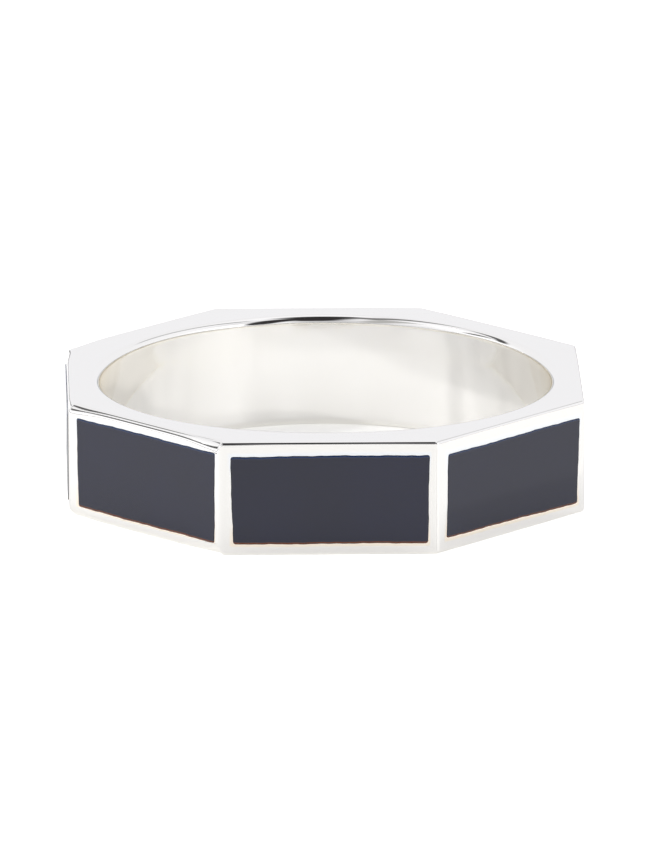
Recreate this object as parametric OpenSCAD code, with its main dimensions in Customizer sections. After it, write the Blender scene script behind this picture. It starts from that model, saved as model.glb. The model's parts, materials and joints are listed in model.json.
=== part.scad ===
/* [Band] */
// Width of the octagonal band across two opposite flats
across_flats = 22; // [21.6:0.1:24]
// Height of the band, along the finger
band_h = 4.9; // [4:0.1:8]
// Radius of the eight upright corners
corner_r = 0.3; // [0.2:0.05:0.6]
// Radius of the outer edges of both rims
edge_r = 0.15; // [0.05:0.01:0.2]

/* [Finger hole] */
// Inside diameter where the hole is narrowest
bore_d = 18.9; // [17:0.1:19.2]
// How far in from each rim the straight wall ends and the comfort arc begins
arc_h = 1.36; // [0.8:0.01:1.8]
// Radius of the comfort arc, which opens the hole towards a rim
comfort_r = 4.3; // [3.8:0.1:8]
// Radius of the edge at each mouth of the hole
mouth_r = 0.15; // [0.05:0.01:0.2]
// How far the hole sits to the right of the band's centre
bore_shift = 0.1; // [0:0.01:0.2]

/* [Onyx] */
// Thickness of a stone
stone_t = 0.6; // [0.4:0.05:0.7]
// Radius of a stone's corners
stone_r = 0.12; // [0.05:0.01:0.3]
// Gap between a stone and its pocket
stone_gap = 0.03; // [0.02:0.01:0.05]

/* [Hidden] */

$fn = 96;
SIDES = 8;
apothem = across_flats / 2;
face_w = across_flats * tan(180 / SIDES);
bore_r = bore_d / 2;

// Metal left bare around each stone, as it was set by hand, one row a face.
// The rows go anticlockwise from the front face, and left and right are as
// seen by someone who looks at that face.
LEFT = 0;
RIGHT = 1;
ABOVE = 2;
BELOW = 3;
MARGINS = [
    [0.48, 0.31, 0.60, 0.51],
    [0.71, 0.28, 0.63, 0.66],
    [0.46, 0.46, 0.57, 0.56],
    [0.48, 0.38, 0.59, 0.52],
    [0.50, 0.32, 0.60, 0.54],
    [0.41, 0.50, 0.57, 0.54],
    [0.48, 0.38, 0.58, 0.53],
    [0.52, 0.30, 0.57, 0.50],
];

// Where the mouth's edge circle, inside the comfort arc, has its centre
mouth_in = comfort_r - sqrt(pow(comfort_r - mouth_r, 2) - pow(arc_h - mouth_r, 2));
// How high above the rim that circle meets the comfort arc
mouth_top = arc_h - (arc_h - mouth_r) * comfort_r / (comfort_r - mouth_r);
// How far a cutter runs past the metal
over = 0.5;

// Rectangle between two corner points, with round corners
module round_rect(low, high, r) {
    size = high - low;
    translate([low.x + r, low.y])
        square([size.x - 2 * r, size.y]);
    translate([low.x, low.y + r])
        square([size.x, size.y - 2 * r]);
    for (x = [low.x + r, high.x - r], y = [low.y + r, high.y - r])
        translate([x, y]) circle(r);
}

// Octagon with round corners, its flats at the right, the top and so on
module round_octagon(r) {
    half = (apothem - r) * tan(180 / SIDES);
    for (k = [0 : SIDES - 1])
        rotate(k * 360 / SIDES) {
            translate([0, -half]) square([apothem, 2 * half]);
            translate([apothem - r, half]) circle(r);
        }
}

// Long bar whose width is that across the flats, with its long edges rounded
module rim_bar() {
    rotate([90, 0, 0])
        linear_extrude(2 * across_flats, center = true)
            round_rect([-apothem, 0], [apothem, band_h], edge_r);
}

// The band before it is bored: where the four bars cross, its rims are rounded
module blank() {
    intersection() {
        linear_extrude(band_h) round_octagon(corner_r);
        rim_bar();
        rotate(45) rim_bar();
        rotate(90) rim_bar();
        rotate(135) rim_bar();
    }
}

// Outline, from the hole's axis outwards, of what the mouth takes off a rim
module mouth_outline() {
    difference() {
        translate([0, -over]) square([bore_r + over, over + arc_h]);
        translate([bore_r + comfort_r, arc_h]) circle(comfort_r);
    }
    difference() {
        translate([0, -over]) square([bore_r + mouth_in, over + mouth_top]);
        translate([bore_r + mouth_in, mouth_r]) circle(mouth_r);
    }
}

// The finger hole: straight in the middle and wider at both mouths
module finger_hole() {
    translate([bore_shift, 0, 0])
        rotate_extrude() {
            translate([0, -over]) square([bore_r, band_h + 2 * over]);
            mouth_outline();
            translate([0, band_h]) mirror([0, 1]) mouth_outline();
        }
}

// A slab let into one face to the given depth, and grown all round by a gap
module face_slab(face, depth, gap, out) {
    m = MARGINS[face];
    low = [m[LEFT] - face_w / 2 - gap, m[BELOW] - gap];
    high = [face_w / 2 - m[RIGHT] + gap, band_h - m[ABOVE] + gap];
    rotate(face * 360 / SIDES)
        translate([0, depth - apothem, 0])
            rotate([90, 0, 0])
                linear_extrude(depth + out)
                    round_rect(low, high, stone_r + gap);
}

module band() {
    color("silver")
        difference() {
            blank();
            finger_hole();
            for (face = [0 : SIDES - 1])
                face_slab(face, stone_t + stone_gap, stone_gap, over);
        }
}

module onyx(face) {
    color([0.12, 0.12, 0.15])
        face_slab(face, stone_t, 0, 0);
}

band();
for (face = [0 : SIDES - 1])
    onyx(face);
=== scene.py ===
"""Octagonal silver ring with a flat onyx panel let into each side, lying on a pale table."""

import json
from math import cos, radians, sin, sqrt, tan

import bmesh
import bpy
import numpy as np
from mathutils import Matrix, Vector


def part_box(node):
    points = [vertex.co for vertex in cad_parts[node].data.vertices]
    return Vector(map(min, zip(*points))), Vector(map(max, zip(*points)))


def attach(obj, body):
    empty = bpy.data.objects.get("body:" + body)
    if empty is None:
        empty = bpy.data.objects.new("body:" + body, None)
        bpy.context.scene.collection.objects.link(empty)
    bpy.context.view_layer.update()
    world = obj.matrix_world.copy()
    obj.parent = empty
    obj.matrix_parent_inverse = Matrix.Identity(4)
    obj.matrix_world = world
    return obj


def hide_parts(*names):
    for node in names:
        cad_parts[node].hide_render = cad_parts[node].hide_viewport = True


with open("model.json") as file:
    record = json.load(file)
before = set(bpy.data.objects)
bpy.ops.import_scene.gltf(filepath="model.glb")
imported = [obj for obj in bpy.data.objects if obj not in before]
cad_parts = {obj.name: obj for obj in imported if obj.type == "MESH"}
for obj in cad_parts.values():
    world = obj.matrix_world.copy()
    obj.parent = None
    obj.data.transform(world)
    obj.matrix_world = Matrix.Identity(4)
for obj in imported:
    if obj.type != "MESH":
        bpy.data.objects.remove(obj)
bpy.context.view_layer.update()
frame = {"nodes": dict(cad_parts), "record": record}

MM = 0.001

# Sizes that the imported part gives
BAND_LOW, BAND_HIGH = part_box("band")
BORE = next(m for m in frame["record"]["mounts"] if m["name"] == "finger_bore")
SIDES = 8
STEP = 360 / SIDES
APOTHEM = (BAND_HIGH.x - BAND_LOW.x) / 2
HEIGHT = BAND_HIGH.z - BAND_LOW.z
BORE_R = BORE["dims"]["r_mm"] * MM
BORE_AT = np.array(BORE["pos_m"][:2])
ARC_H = (HEIGHT - BORE["dims"]["length_mm"] * MM) / 2
FACE_LENGTH = 2 * APOTHEM * tan(radians(STEP / 2))

# Radii of the band's corners and of its bore towards the rims, as the construction has them, and the
# least radius that a corner keeps inside the rounded edge
CORNER_R = 0.3 * MM
COMFORT_R = 4.3 * MM
CORNER_LEAST = 0.03 * MM

# The mouth of the bore is polished rounder than it was cut, and leaves its circle: a little narrower,
# oval, and with three soft corners
MOUTH_R = 0.45 * MM
MOUTH_IN = 0.20 * MM
MOUTH_OVAL = 0.155 * MM
MOUTH_THREE = 0.15 * MM

# Each face: degrees off its true direction, how far the soft metal is polished down, how far the stone
# then stands out of it, and the radius of its edges to the rims at its start, middle and end, in mm
FACES = [
    {"turn": 0.00, "worn": 0.050, "proud": 0.040, "edge": (0.15, 0.11, 0.13)},
    {"turn": 0.00, "worn": 0.025, "proud": 0.020, "edge": (0.15, 0.12, 0.15)},
    {"turn": 0.00, "worn": 0.020, "proud": 0.015, "edge": (0.15, 0.13, 0.20)},
    {"turn": 0.00, "worn": 0.025, "proud": 0.020, "edge": (0.20, 0.15, 0.22)},
    {"turn": 0.00, "worn": 0.025, "proud": 0.020, "edge": (0.22, 0.14, 0.18)},
    {"turn": 0.00, "worn": 0.025, "proud": 0.020, "edge": (0.20, 0.16, 0.45)},
    {"turn": 0.55, "worn": 0.100, "proud": 0.050, "edge": (0.45, 0.20, 0.45)},
    {"turn": 0.00, "worn": 0.025, "proud": 0.020, "edge": (0.45, 0.27, 0.50)},
]
# How far along a face the radii at its ends reach towards the middle one
EDGE_REACH = 1.4 * MM

# How far each corner of a stone is off its true rectangle, in mm: across and up, from the bottom left
# corner anticlockwise
LEANS = [
    [(0.09, 0.00), (-0.08, 0.00), (-0.01, 0.02), (-0.01, -0.02)],
    [(-0.10, -0.05), (-0.17, -0.17), (-0.03, -0.08), (-0.01, -0.05)],
    [(0.03, 0.00), (-0.03, 0.01), (0.00, -0.01), (-0.02, 0.00)],
    [(-0.02, 0.01), (0.03, 0.00), (-0.02, 0.01), (0.02, -0.01)],
    [(0.04, 0.00), (-0.02, 0.01), (0.01, 0.00), (0.00, 0.02)],
    [(0.00, -0.01), (-0.04, 0.00), (0.02, 0.01), (0.03, 0.00)],
    [(0.02, 0.00), (0.01, 0.00), (-0.03, 0.01), (-0.01, -0.01)],
    [(0.25, 0.03), (-0.05, -0.02), (0.00, 0.08), (0.15, 0.05)],
]

# Waves of a stone's hand-cut sides: height in mm, radians a mm, and how much each takes of a phase that
# shifts from face to face and from side to side. They fade out towards the corners.
WAVES = [(0.014, 0.8, 1.0), (0.007, 2.9, 2.1), (0.005, 6.7, 3.3), (0.005, 11.3, 1.3)]
FACE_SHIFT, SIDE_SHIFT = 1.7, 2.3
WAVE_FADE = 0.5 * MM

# Small forms where stone and metal meet
POCKET_DEPTH = 0.63 * MM
POCKET_GAP = 0.03 * MM
LIP_R = 0.02 * MM
STONE_GAP = 0.008 * MM
STONE_EDGE_R = 0.03 * MM
STONE_CORNER_R = 0.1 * MM
STONE_CROWN = 0.012 * MM
# A point this close to a stone's side, in corner radii, may bend with the corner
CORNER_NEAR = 0.3

# Points along a face's long and short sides, and steps across round stretches
LONG_STEPS = 72
SHORT_STEPS = 22
CORNER_STEPS = 8
EDGE_STEPS = 15
MOUTH_STEPS = 10
ARC_STEPS = 14
LIP_TURNS = (30, 60, 90)
STONE_EDGE_TURNS = (0, 22.5, 45, 67.5, 90)

# The stretch at each end of a side where points lie closer together, and their places on it
END_STRETCH = 0.25 * MM
END_SHARES = np.array([0, 0.12, 0.3, 0.55, 0.8, 1.0])

# Loops across the flat rim, and across a face's plate from its edge to its pocket: how far on the way
# each lies, and on the plate also how strong the tint is there
RIM_SHARES = (0.015, 0.25, 0.5, 0.75, 0.985)
PLATE_LOOPS = [(0, 0), (0.03, 0), (0.35, 0), (0.6, 0.3), (0.8, 0.9), (1, 1)]

# Points closer than this are one point
WELD = 1e-7


def side_fractions(steps, length):
    """Fractions of a side from 0 to 1, closer together near both ends."""
    near = END_SHARES * END_STRETCH / length
    middle = np.linspace(near[-1], 1 - near[-1], steps + 1 - 2 * (len(near) - 1))
    return np.concatenate([near[:-1], middle, 1 - near[-2::-1]])


LONG = side_fractions(LONG_STEPS, FACE_LENGTH)
SHORT = side_fractions(SHORT_STEPS, HEIGHT)
TURN = np.linspace(0, 1, CORNER_STEPS + 1)


def edge_radii(face):
    """Radii of the rounded edge between rim and side, along a face."""
    start, middle, end = (r * MM for r in FACES[face % SIDES]["edge"])
    near_start = np.exp(-(LONG * FACE_LENGTH / EDGE_REACH)**2)
    return middle + (start - middle) * near_start + (end - middle) * near_start[::-1]


class Surface:
    """Collects points and quads, then makes one smooth-shaded mesh object of them.

    Each point may have a tint, from -1 at the upper edge of a stone to 1 at its lower edge.
    """

    def __init__(self):
        self.points, self.tints, self.faces, self.count = [], [], [], 0

    def add(self, points, tint=0.0):
        """Adds an array of points, whose last axis is x, y, z, and returns their indices."""
        points = np.asarray(points, float)
        shape = points.shape[:-1]
        self.points.append(points.reshape(-1, 3))
        self.tints.append(np.broadcast_to(tint, shape).ravel())
        first, self.count = self.count, self.count + int(np.prod(shape))
        return np.arange(first, self.count).reshape(shape)

    def grid(self, index, flip=False):
        """Quads over a two-way array of indices."""
        a, b, c, d = index[:-1, :-1], index[:-1, 1:], index[1:, 1:], index[1:, :-1]
        quads = np.stack([a, b, c, d] if not flip else [a, d, c, b], axis=-1)
        self.faces.append(quads.reshape(-1, 4))

    def ring(self, index, flip=False):
        """Quads between the rows of an array whose rows are closed loops."""
        self.grid(np.concatenate([index, index[:, :1]], axis=1), flip)

    def make(self, name, material):
        """Makes the mesh object and puts it into the scene."""
        mesh = bpy.data.meshes.new(name)
        mesh.from_pydata(np.concatenate(self.points).tolist(), [],
                         np.concatenate(self.faces).tolist())
        tint = mesh.attributes.new("tint", "FLOAT", "POINT")
        tint.data.foreach_set("value", np.concatenate(self.tints))
        mesh.materials.append(material)
        piece = bpy.data.objects.new(name, mesh)
        bpy.context.scene.collection.objects.link(piece)
        tidy_mesh(mesh)
        mesh.shade_smooth()
        return piece


def tidy_mesh(mesh):
    """Joins points that fall together and turns all faces outwards."""
    bm = bmesh.new()
    bm.from_mesh(mesh)
    bmesh.ops.remove_doubles(bm, verts=bm.verts, dist=WELD)
    bmesh.ops.recalc_face_normals(bm, faces=bm.faces)
    bm.to_mesh(mesh)
    bm.free()


def towards(degrees):
    """Horizontal direction at an angle, anticlockwise from the front."""
    a = radians(degrees)
    return np.array([sin(a), -cos(a)])


def face_axes(face):
    """Middle of a face on the CAD's flat, the direction out of it and the direction along it."""
    turned = face * STEP + FACES[face]["turn"]
    return towards(face * STEP) * APOTHEM, towards(turned), towards(turned + 90)


def on_face(face, across, up, out):
    """Points of the part from places on a face: across it, up it and out of it."""
    middle, outwards, along = face_axes(face)
    across, up, out = np.broadcast_arrays(across, up, out)
    level = middle + across[..., None] * along + out[..., None] * outwards
    return np.concatenate([level, up[..., None]], axis=-1)


def corner_centre(face):
    """Centre, seen from above, of the round corner between a face and the next one."""
    rows, levels = [], []
    for one in (face % SIDES, (face + 1) % SIDES):
        middle, outwards, _ = face_axes(one)
        rows.append(outwards)
        levels.append(middle @ outwards - FACES[one]["worn"] * MM - CORNER_R)
    return np.linalg.solve(rows, levels)


def corner_radii(face):
    """Radii of the rounded edge between rim and side, round the corner after a face."""
    start, end = edge_radii(face)[-1], edge_radii(face + 1)[0]
    return start + (end - start) * TURN


def corner_arc(face, inset):
    """Points round the corner after a face, inset by a distance for each point."""
    start = face * STEP + FACES[face]["turn"]
    end = (face + 1) * STEP + FACES[(face + 1) % SIDES]["turn"]
    radius = np.maximum(CORNER_R - inset, CORNER_LEAST)
    back = (radius - CORNER_R + inset) / cos(radians(STEP / 2))
    centre = corner_centre(face) - back[:, None] * towards((start + end) / 2)
    return centre + radius[:, None] * np.array([towards(start + f * (end - start)) for f in TURN])


def face_span(face):
    """Places across a face where its flat metal starts and ends."""
    middle, _, along = face_axes(face)
    return (corner_centre(face - 1) - middle) @ along, (corner_centre(face) - middle) @ along


def edge_row(turn):
    """The band's outline where its edge has turned so far from the rim: points and how far down."""
    inwards, down = 1 - sin(radians(turn)), 1 - cos(radians(turn))
    points, depths = [], []
    for face in range(SIDES):
        middle, outwards, along = face_axes(face)
        before = corner_arc((face - 1) % SIDES, corner_radii(face - 1) * inwards)[-1]
        after = corner_arc(face, corner_radii(face) * inwards)
        start, end = (before - middle) @ along, (after[0] - middle) @ along
        level = -FACES[face]["worn"] * MM - edge_radii(face) * inwards
        points.append(on_face(face, start + LONG * (end - start), 0.0, level)[:, :2])
        points.append(after[1:-1])
        depths += [edge_radii(face) * down, corner_radii(face)[1:-1] * down]
    return np.concatenate(points), np.concatenate(depths)


def lift(points, z):
    """Puts level points at a height."""
    return np.concatenate([points, np.broadcast_to(z, len(points))[:, None]], axis=1)


def rim_rows(z_of):
    """Loops from the top of the flat sides over the rim, down to where the bore is straight."""
    rows = []
    for turn in np.linspace(90, 0, EDGE_STEPS + 1):
        points, depths = edge_row(turn)
        rows.append(lift(points, z_of(depths)))
    outer = rows[-1][:, :2] - BORE_AT
    way = outer / np.linalg.norm(outer, axis=1)[:, None]
    angle = np.arctan2(way[:, 1], way[:, 0])
    wander = MOUTH_OVAL * np.cos(2 * angle) - MOUTH_THREE * np.sin(3 * angle) - MOUTH_IN

    def bore_row(radius, depth):
        """Loop round the bore at a radius, so deep below the rim."""
        fade = (1 - depth / ARC_H)**2
        return lift(BORE_AT + way * (radius + wander * fade)[:, None], z_of(depth))

    lean = (ARC_H - MOUTH_R) / (COMFORT_R - MOUTH_R)
    mouth_r = BORE_R + COMFORT_R - (COMFORT_R - MOUTH_R) * sqrt(1 - lean**2)
    inner = bore_row(mouth_r, 0.0)[:, :2]
    for share in RIM_SHARES:
        rows.append(lift((outer + BORE_AT) * (1 - share) + inner * share, z_of(0)))
    for a in np.linspace(0, np.arccos(lean), MOUTH_STEPS + 1):
        rows.append(bore_row(mouth_r - MOUTH_R * sin(a), MOUTH_R * (1 - cos(a))))
    for b in np.linspace(np.arcsin(lean), 0, ARC_STEPS + 1)[1:]:
        rows.append(bore_row(BORE_R + COMFORT_R * (1 - cos(b)), ARC_H - COMFORT_R * sin(b)))
    return rows


def stone_rect(face):
    """Left, bottom, right and top of a face's stone on that face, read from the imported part."""
    points = np.array([v.co for v in frame["nodes"][f"onyx_{face + 1}"].data.vertices])
    across = points[:, :2] @ towards(face * STEP + 90)
    return across.min(), points[:, 2].min(), across.max(), points[:, 2].max()


def wave(face, side, fractions, length):
    """How far a hand-cut side of a stone wanders from its straight line."""
    x = fractions * length / MM
    phase = FACE_SHIFT * face + SIDE_SHIFT * side
    out = sum(high * np.sin(rate * x + shift * phase) for high, rate, shift in WAVES)
    fade = np.clip(np.minimum(fractions, 1 - fractions) * length / WAVE_FADE, 0, 1)
    return out * MM * fade


def panel_outline(face, grow):
    """Closed loop of places across and up a face: its stone's outline, grown by a distance."""
    left, bottom, right, top = stone_rect(face)
    corners = np.array([(left, bottom), (right, bottom), (right, top), (left, top)])
    corners += np.array(LEANS[face]) * MM
    loop = []
    for side in range(4):
        a, b = corners[side], corners[(side + 1) % 4]
        fractions = LONG if side % 2 == 0 else SHORT
        length = np.linalg.norm(b - a)
        along = (b - a) / length
        outwards = np.array([along[1], -along[0]])
        line = a + fractions[:-1, None] * (b - a)
        line += outwards * wave(face, side, fractions, length)[:-1, None]
        loop.append(line)
    loop = round_corners(np.concatenate(loop), corners)
    ahead, behind = np.roll(loop, -1, 0), np.roll(loop, 1, 0)
    tangent = ahead - behind
    tangent /= np.linalg.norm(tangent, axis=1)[:, None]
    return loop + np.stack([tangent[:, 1], -tangent[:, 0]], axis=1) * grow


def round_corners(loop, corners):
    """Bends the points near each corner of a loop onto a small arc."""
    bent = loop.copy()
    for corner in corners:
        inwards = np.sign(corners.mean(0) - corner)
        local = (loop - corner) * inwards / STONE_CORNER_R
        near = (local.max(1) < 1) & (local.min(1) < CORNER_NEAR)
        angle = np.radians(45) * (1 + (local[near, 1] - local[near, 0]))
        arc = 1 - np.stack([np.sin(angle), np.cos(angle)], axis=1)
        bent[near] = corner + arc * inwards * STONE_CORNER_R
    return bent


def plate_edge(face):
    """Closed loop of places across and up a face, where its flat part ends."""
    start, end = face_span(face)
    across = start + LONG * (end - start)
    low = edge_radii(face)
    high = HEIGHT - low
    left, right = np.full_like(SHORT, start), np.full_like(SHORT, end)
    up_left, up_right = (low[i] + SHORT * (high[i] - low[i]) for i in (0, -1))
    sides = [(across, low), (right, up_right), (across[::-1], high[::-1]), (left, up_left[::-1])]
    return np.concatenate([np.stack(side, axis=1)[:-1] for side in sides])


def side_tints():
    """Tints round a loop of long and short sides: lower edge 1, upper edge -1, ends between."""
    return np.concatenate([np.ones(LONG_STEPS), 1 - 2 * SHORT[:-1],
                           -np.ones(LONG_STEPS), 2 * SHORT[:-1] - 1])


def patch(loop):
    """Fills a closed loop of long and short sides with a grid of places."""
    m, n = LONG_STEPS, SHORT_STEPS
    bottom, right = loop[:m + 1], loop[m:m + n + 1]
    top, left = loop[m + n:2 * m + n + 1][::-1], np.concatenate([loop[2 * m + n:], loop[:1]])[::-1]
    u, v = LONG[:, None, None], SHORT[None, :, None]
    blend = (1 - v) * bottom[:, None] + v * top[:, None] + (1 - u) * left[None] + u * right[None]
    flat = (1 - u) * (1 - v) * loop[0] + u * (1 - v) * loop[m] + u * v * loop[m + n]
    return blend - flat - (1 - u) * v * loop[2 * m + n]


def build_band(material):
    """The silver band: rims and bore as one grid, and each face as a plate round its pocket."""
    s = Surface()
    upper = s.add(rim_rows(lambda depth: HEIGHT - depth))
    lower = s.add(rim_rows(lambda depth: depth))
    s.ring(upper)
    s.ring(lower, flip=True)
    s.ring(np.stack([upper[-1], lower[-1]]))
    for face in range(SIDES):
        low = corner_radii(face)
        arc = corner_arc(face, np.zeros_like(low))
        s.grid(s.add([lift(arc, low + f * (HEIGHT - 2 * low)) for f in SHORT]))
        build_plate(s, face)
    band = s.make("silver_band", material)
    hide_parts("band")
    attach(band, "root")


def build_plate(s, face):
    """The flat metal of one face, the rolled lip of its pocket, and the pocket."""
    level = -FACES[face]["worn"] * MM
    lip, edge = panel_outline(face, LIP_R), plate_edge(face)
    loops = []
    for share, tint in PLATE_LOOPS:
        loops.append((edge + (lip - edge) * share, level, tint))
    for a in np.radians(LIP_TURNS):
        loops.append((panel_outline(face, LIP_R * (1 - sin(a))), level - LIP_R * (1 - cos(a)), 1))
    loops.append((panel_outline(face, 0), -POCKET_DEPTH, 0))
    tints = side_tints()
    s.ring(np.stack([s.add(on_face(face, *p.T, out), tints * tint) for p, out, tint in loops]))
    floor = patch(panel_outline(face, 0))
    s.grid(s.add(on_face(face, floor[..., 0], floor[..., 1], -POCKET_DEPTH)))


def build_stone(face, material):
    """One onyx panel: a slab with softened edges and a barely crowned face."""
    s = Surface()
    level = (FACES[face]["proud"] - FACES[face]["worn"]) * MM

    def crown(places):
        """How far out the crowned face lies at its places."""
        left, bottom, right, top = stone_rect(face)
        u = (places[..., 0] - (left + right) / 2) / (right - left) * 2
        v = (places[..., 1] - (bottom + top) / 2) / (top - bottom) * 2
        return level + STONE_CROWN * ((1 - u**2) * (1 - v**2) - 1)

    inner = panel_outline(face, -STONE_GAP - STONE_EDGE_R)
    table = patch(inner)
    across_tint = np.broadcast_to(1 - 2 * SHORT, table.shape[:-1])
    s.grid(s.add(on_face(face, table[..., 0], table[..., 1], crown(table)), across_tint))
    rim, tints = crown(inner), side_tints()
    loops = []
    for a in np.radians(STONE_EDGE_TURNS):
        places = panel_outline(face, -STONE_GAP - STONE_EDGE_R * (1 - sin(a)))
        loops.append((places, rim - STONE_EDGE_R * (1 - cos(a))))
    back = -POCKET_DEPTH + POCKET_GAP
    loops.append((panel_outline(face, -STONE_GAP), np.full(len(rim), back)))
    s.ring(np.stack([s.add(on_face(face, *p.T, out), tints) for p, out in loops]))
    under = patch(panel_outline(face, -STONE_GAP))
    s.grid(s.add(on_face(face, under[..., 0], under[..., 1], back)), flip=True)
    stone = s.make(f"onyx_panel_{face + 1}", material)
    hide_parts(f"onyx_{face + 1}")
    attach(stone, "root")


class Nodes:
    """Short way to add and link shader nodes."""

    def __init__(self, tree):
        self.tree = tree

    def add(self, kind, inputs=None, **settings):
        """A new node; each input is a value or the socket that feeds it."""
        node = self.tree.nodes.new(kind)
        for key, value in settings.items():
            setattr(node, key, value)
        for key, value in (inputs or {}).items():
            if isinstance(value, bpy.types.NodeSocket):
                self.tree.links.new(value, node.inputs[key])
            else:
                node.inputs[key].default_value = value
        return node

    def math(self, operation, *values):
        """Result of an operation on numbers."""
        return self.add("ShaderNodeMath", operation=operation,
                        inputs=dict(enumerate(values))).outputs[0]

    def ramp_to(self, value, low, high, a=0.0, b=1.0):
        """Goes smoothly from a to b while a value goes from low to high."""
        return self.add("ShaderNodeMapRange", interpolation_type="SMOOTHSTEP",
                        inputs={"Value": value, "From Min": low, "From Max": high,
                                "To Min": a, "To Max": b}).outputs["Result"]

    def vector(self, operation, *values):
        """Result of an operation on vectors: a vector, or a number where the operation gives one."""
        node = self.add("ShaderNodeVectorMath", operation=operation, inputs=dict(enumerate(values)))
        is_number = operation in ("LENGTH", "DISTANCE", "DOT_PRODUCT")
        return node.outputs["Value" if is_number else "Vector"]

    def off_segment(self, point, start, end):
        """Distance of a point from the straight line between two places on the level."""
        a, way = Vector((*start, 0)), Vector((end[0] - start[0], end[1] - start[1], 0))
        from_start = self.vector("SUBTRACT", point, a)
        along = self.vector("DOT_PRODUCT", from_start, way / way.length_squared)
        share = self.add("ShaderNodeClamp", inputs={"Value": along}).outputs[0]
        nearest = self.vector("MULTIPLY", way, share)
        return self.vector("DISTANCE", from_start, nearest)

    def mix(self, share, a, b):
        """Colour that goes from a to b as a share goes from 0 to 1."""
        node = self.add("ShaderNodeMix", data_type="RGBA")
        for socket, value in zip((node.inputs[0], node.inputs[6], node.inputs[7]), (share, a, b)):
            if isinstance(value, bpy.types.NodeSocket):
                self.tree.links.new(value, socket)
            else:
                socket.default_value = value
        return node.outputs[2]


def new_material(name):
    """A material with an empty node tree, and the way to add nodes to it."""
    material = bpy.data.materials.new(name)
    material.use_nodes = True
    material.node_tree.nodes.clear()
    return material, Nodes(material.node_tree)


# Colours of the metal and of the stone, and of their thin edges where they meet
SILVER = (0.94, 0.925, 0.895, 1)
SILVER_BELOW_STONE = (1.0, 0.885, 0.75, 1)
SILVER_ABOVE_STONE = (0.90, 0.925, 0.95, 1)
ONYX_DARK, ONYX_PALE = (0.0004, 0.0010, 0.0140, 1), (0.0015, 0.0030, 0.0280, 1)
ONYX_FOOT, ONYX_TOP = (0.130, 0.026, 0.001, 1), (0.005, 0.020, 0.078, 1)
# The stretches of the tint over which those edge colours come in, below and above a stone
SILVER_BELOW_AT, SILVER_ABOVE_AT = (0.3, 1.0), (-1.0, -0.3)
ONYX_FOOT_AT, ONYX_TOP_AT = (0.945, 0.985), (-0.985, -0.93)

# Roughness where each is rubbed least and most, and how much softer the bore is. The bore counts as such
# up to a distance from the axis.
SILVER_ROUGH, ONYX_ROUGH = (0.04, 0.10), (0.06, 0.11)
BORE_SOFTER = 0.015
BORE_ENDS = (9.5 * MM, 9.8 * MM)
# How fine the noises are: the metal's low ripple and rub marks, and the stone's clouds and rub marks
RIPPLE, SILVER_RUB, ONYX_CLOUD, ONYX_RUB = 260.0, 2400.0, 500.0, 1800.0
RIPPLE_HEIGHT = 0.01 * MM
ONYX_IOR = 1.60


def silver():
    """Polished sterling silver with a hand-rubbed surface, warmer below the stones and cooler above."""
    material, n = new_material("polished_silver")
    place = n.add("ShaderNodeTexCoord").outputs["Object"]
    tint = n.add("ShaderNodeAttribute", attribute_name="tint").outputs["Fac"]
    colour = n.mix(n.ramp_to(tint, *SILVER_BELOW_AT), SILVER, SILVER_BELOW_STONE)
    colour = n.mix(n.ramp_to(tint, *SILVER_ABOVE_AT, 1.0, 0.0), colour, SILVER_ABOVE_STONE)
    ripple = n.add("ShaderNodeTexNoise", inputs={"Vector": place, "Scale": RIPPLE, "Detail": 1.0})
    rub = n.add("ShaderNodeTexNoise", inputs={"Vector": place, "Scale": SILVER_RUB, "Detail": 4.0})
    from_axis = n.vector("LENGTH", n.vector("MULTIPLY", place, (1, 1, 0)))
    in_bore = n.ramp_to(from_axis, *BORE_ENDS, BORE_SOFTER, 0.0)
    soft = n.math("ADD", n.ramp_to(rub.outputs["Fac"], 0.2, 0.8, *SILVER_ROUGH), in_bore)
    bump = n.add("ShaderNodeBump", inputs={"Strength": 1.0, "Distance": RIPPLE_HEIGHT,
                                           "Height": ripple.outputs["Fac"]})
    shader = n.add("ShaderNodeBsdfPrincipled",
                   inputs={"Base Color": colour, "Metallic": 1.0,
                           "Roughness": soft, "Normal": bump.outputs["Normal"]})
    n.add("ShaderNodeOutputMaterial", inputs={"Surface": shader.outputs["BSDF"]})
    return material


def onyx():
    """Polished black onyx, bluish in the body, with a brown line along its foot and a blue one on top."""
    material, n = new_material("black_onyx")
    place = n.add("ShaderNodeTexCoord").outputs["Object"]
    cloud = n.add("ShaderNodeTexNoise", inputs={"Vector": place, "Scale": ONYX_CLOUD, "Detail": 4.0})
    body = n.mix(cloud.outputs["Fac"], ONYX_DARK, ONYX_PALE)
    tint = n.add("ShaderNodeAttribute", attribute_name="tint").outputs["Fac"]
    body = n.mix(n.ramp_to(tint, *ONYX_FOOT_AT), body, ONYX_FOOT)
    body = n.mix(n.ramp_to(tint, *ONYX_TOP_AT, 1.0, 0.0), body, ONYX_TOP)
    rub = n.add("ShaderNodeTexNoise", inputs={"Vector": place, "Scale": ONYX_RUB, "Detail": 5.0})
    soft = n.ramp_to(rub.outputs["Fac"], 0.3, 0.7, *ONYX_ROUGH)
    shader = n.add("ShaderNodeBsdfPrincipled",
                   inputs={"Base Color": body, "Roughness": soft, "IOR": ONYX_IOR})
    n.add("ShaderNodeOutputMaterial", inputs={"Surface": shader.outputs["BSDF"]})
    return material


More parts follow.
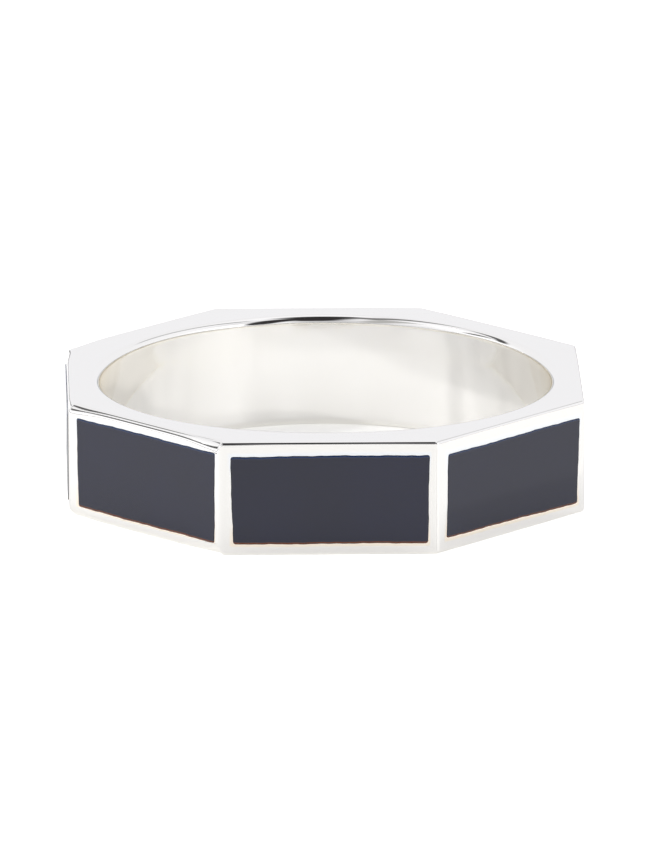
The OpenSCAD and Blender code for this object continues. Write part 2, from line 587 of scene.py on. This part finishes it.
# The photograph's frame and the ring's middle in it, in pixels, the ring's width in pixels and in mm, and
# the camera that took it
FRAME_W, FRAME_H = 650, 866
RING_PX = (323, 429)
RING_WIDE_PX, RING_WIDE_MM = 516, 22
CAMERA_AZIMUTH, CAMERA_ELEVATION = -1.2, 15.5
CAMERA_DISTANCE = 0.55
SENSOR = 36
CLIP_START, CLIP_END = 0.01, 20


def add_camera():
    """A long lens that looks at the ring from the front and a little above."""
    data = bpy.data.cameras.new("camera")
    camera = bpy.data.objects.new("camera", data)
    bpy.context.scene.collection.objects.link(camera)
    a, e = radians(CAMERA_AZIMUTH), radians(CAMERA_ELEVATION)
    back = Vector((sin(a) * cos(e), -cos(a) * cos(e), sin(e)))
    right = Vector((cos(a), sin(a), 0))
    above = back.cross(right)
    px = MM * RING_WIDE_MM / RING_WIDE_PX
    aim = Vector((0, 0, HEIGHT / 2))
    aim += right * (FRAME_W / 2 - RING_PX[0]) * px - above * (FRAME_H / 2 - RING_PX[1]) * px
    camera.location = aim + back * CAMERA_DISTANCE
    camera.rotation_mode = "QUATERNION"
    camera.rotation_quaternion = (-back).to_track_quat("-Z", "Y")
    data.sensor_width = SENSOR
    data.lens = SENSOR * CAMERA_DISTANCE / (FRAME_H * px)
    data.clip_start, data.clip_end = CLIP_START, CLIP_END
    bpy.context.scene.camera = camera


# The studio as the ring sees it: a pale tent whose walls vary slowly. Azimuth runs from the back, positive
# to the right, and elevation from the table up, both in degrees. Lights at 0, 45, 90 ... 315 of azimuth.
LOW_WALL = [0.93, 0.94, 1.00, 1.50, 0.60, 0.85, 1.20, 0.94]
HIGH_WALL = [0.92, 0.94, 1.00, 0.80, 0.70, 1.05, 1.05, 0.95]
WALL_STEP = 360 / len(LOW_WALL)
CEILING = 1.05
# Elevations up to which the low wall reaches, at which the high wall is full, and where the ceiling starts
WALL_HEIGHTS = (12, 42, 75)
WALL_TINT = (0.992, 0.997, 1.035)
# The dark line where the table ends, below the tent's walls
HORIZON_HEIGHTS = (2.0, 4.5)
HORIZON_LIGHT = 0.3
# Dark cloth and beams in the tent, each a soft bar between two places in a fish-eye picture of the sky
# with the back on top: places across and up it, from -1 to 1, and half the bar's width
BARS = [
    {"name": "cloth over the camera", "ends": ((0.0, -0.06), (0.04, -0.54)), "width": 0.13, "soft": 0.10,
     "light": (0.035, 0.033, 0.035)},
    {"name": "its right side", "ends": ((0.16, -0.34), (0.46, -0.66)), "width": 0.12, "soft": 0.06,
     "light": (0.035, 0.033, 0.035)},
    {"name": "beam to the left", "ends": ((-0.66, -0.04), (-0.57, 0.10)), "width": 0.055, "soft": 0.05,
     "light": (0.08, 0.08, 0.08)},
    {"name": "beam on the left wall", "ends": ((-0.66, 0.21), (-0.27, 0.29)), "width": 0.045, "soft": 0.05,
     "light": (0.08, 0.08, 0.08)},
    {"name": "beam to the right", "ends": ((0.30, 0.36), (0.24, -0.06)), "width": 0.035, "soft": 0.05,
     "light": (0.30, 0.30, 0.30)},
    {"name": "grey cloth at the front left", "ends": ((-0.28, -0.20), (-0.34, -0.66)), "width": 0.09,
     "soft": 0.08, "light": (0.48, 0.48, 0.48)},
    {"name": "beam to the back", "ends": ((-0.16, -0.20), (-0.11, 0.36)), "width": 0.035, "soft": 0.05,
     "light": (0.16, 0.16, 0.16)},
]

# The lamps that cast shadows: one from the left, and one beside the camera that the silver doesn't mirror
LAMPS = [
    {"name": "key", "azimuth": -96, "elevation": 37, "power": 1.35, "mirrored": True},
    {"name": "fill", "azimuth": -171, "elevation": 37, "power": 1.2, "mirrored": False},
]
LAMP_DISTANCE, LAMP_SIZE = 0.8, 0.06

# The table: half its width, its colour and its polish. It glows a little, like a light table, and as the
# picture shows it, its shadows are bleached too: strongly outside the ring, and less inside it
FLOOR_REACH = 3.0
FLOOR_COLOUR = (0.905, 0.9, 0.875, 1)
FLOOR_ROUGH = 0.28
FLOOR_GLOW = 0.23
LIFT_INSIDE, LIFT_OUTSIDE = 0.10, 0.45
LIFT_FROM, LIFT_TO = 9.8 * MM, 10.8 * MM

WHITE = (1, 1, 1, 1)
LIGHT_BOUNCES = 24


def sky_direction(azimuth, elevation):
    """Direction towards a place in the studio."""
    a, e = radians(azimuth), radians(elevation)
    return Vector((sin(a) * cos(e), cos(a) * cos(e), sin(e)))


def add_floor():
    """The pale table that the ring lies on."""
    mesh = bpy.data.meshes.new("floor")
    r = FLOOR_REACH
    mesh.from_pydata([(-r, -r, 0), (r, -r, 0), (r, r, 0), (-r, r, 0)], [], [(0, 1, 2, 3)])
    floor = bpy.data.objects.new("floor", mesh)
    bpy.context.scene.collection.objects.link(floor)
    material, n = new_material("pale_table")
    seen = n.add("ShaderNodeLightPath").outputs["Is Camera Ray"]
    place = n.add("ShaderNodeTexCoord").outputs["Object"]
    from_axis = n.vector("LENGTH", place)
    lift_there = n.ramp_to(from_axis, LIFT_FROM, LIFT_TO, LIFT_INSIDE, LIFT_OUTSIDE)
    glow = n.math("MULTIPLY_ADD", seen, lift_there, FLOOR_GLOW)
    shader = n.add("ShaderNodeBsdfPrincipled",
                   inputs={"Base Color": FLOOR_COLOUR, "Roughness": FLOOR_ROUGH,
                           "Emission Color": WHITE, "Emission Strength": glow})
    n.add("ShaderNodeOutputMaterial", inputs={"Surface": shader.outputs["BSDF"]})
    mesh.materials.append(material)


def add_world():
    """The sky as a world shader: walls, ceiling, horizon and bars. Seen directly, it is plain white."""
    world = bpy.data.worlds.new("studio")
    bpy.context.scene.world = world
    world.use_nodes = True
    world.node_tree.nodes.clear()
    n = Nodes(world.node_tree)
    way = n.add("ShaderNodeTexCoord").outputs["Generated"]
    split = n.add("ShaderNodeSeparateXYZ", inputs={0: way}).outputs
    azimuth = n.math("DEGREES", n.math("ARCTAN2", split["X"], split["Y"]))
    elevation = n.math("DEGREES", n.math("ARCSINE", split["Z"]))

    low, middle, high = WALL_HEIGHTS
    is_low = n.ramp_to(elevation, low, middle, 1.0, 0.0)
    is_ceiling = n.ramp_to(elevation, middle, high)
    is_high = n.math("SUBTRACT", n.math("SUBTRACT", 1.0, is_low), is_ceiling)
    sky = n.math("MULTIPLY", is_ceiling, CEILING)
    for i, (low_light, high_light) in enumerate(zip(LOW_WALL, HIGH_WALL)):
        off = n.math("ABSOLUTE", n.math("SUBTRACT", azimuth, WALL_STEP * i))
        near = n.ramp_to(n.math("PINGPONG", off, 180.0), 0.0, WALL_STEP, 1.0, 0.0)
        light = n.math("MULTIPLY_ADD", is_low, low_light, n.math("MULTIPLY", is_high, high_light))
        sky = n.math("MULTIPLY_ADD", near, light, sky)
    sky = n.math("MULTIPLY", sky, n.ramp_to(elevation, *HORIZON_HEIGHTS, HORIZON_LIGHT, 1.0))
    sky = n.vector("MULTIPLY", sky, WALL_TINT)
    stretch = n.math("ADD", split["Z"], 1.0)
    fish_eye = {axis: n.math("DIVIDE", split[axis], stretch) for axis in ("X", "Y")}
    place = n.add("ShaderNodeCombineXYZ", inputs=fish_eye).outputs[0]
    for bar in BARS:
        off = n.off_segment(place, *bar["ends"])
        inner, outer = (bar["width"] + half * bar["soft"] for half in (-0.5, 0.5))
        sky = n.mix(n.ramp_to(off, inner, outer, 1.0, 0.0), sky, (*bar["light"], 1))
    seen = n.add("ShaderNodeLightPath").outputs["Is Camera Ray"]
    shine = n.add("ShaderNodeBackground", inputs={"Color": n.mix(seen, sky, WHITE)})
    n.add("ShaderNodeOutputWorld", inputs={"Surface": shine.outputs["Background"]})


def add_lamp(name, azimuth, elevation, power, mirrored):
    """A small round lamp that shines on the ring from a place in the studio."""
    data = bpy.data.lights.new(name, "AREA")
    data.shape = "DISK"
    data.size = LAMP_SIZE
    data.energy = power
    lamp = bpy.data.objects.new(name, data)
    bpy.context.scene.collection.objects.link(lamp)
    way = sky_direction(azimuth, elevation)
    lamp.location = way * LAMP_DISTANCE
    lamp.rotation_mode = "QUATERNION"
    lamp.rotation_quaternion = (-way).to_track_quat("-Z", "Y")
    lamp.visible_glossy = mirrored


build_band(silver())
onyx_material = onyx()
for face in range(SIDES):
    build_stone(face, onyx_material)
add_camera()
add_floor()
add_world()
for lamp in LAMPS:
    add_lamp(**lamp)
bpy.context.scene.view_settings.view_transform = "Standard"
bpy.context.scene.cycles.max_bounces = LIGHT_BOUNCES
bpy.context.scene.cycles.glossy_bounces = LIGHT_BOUNCES
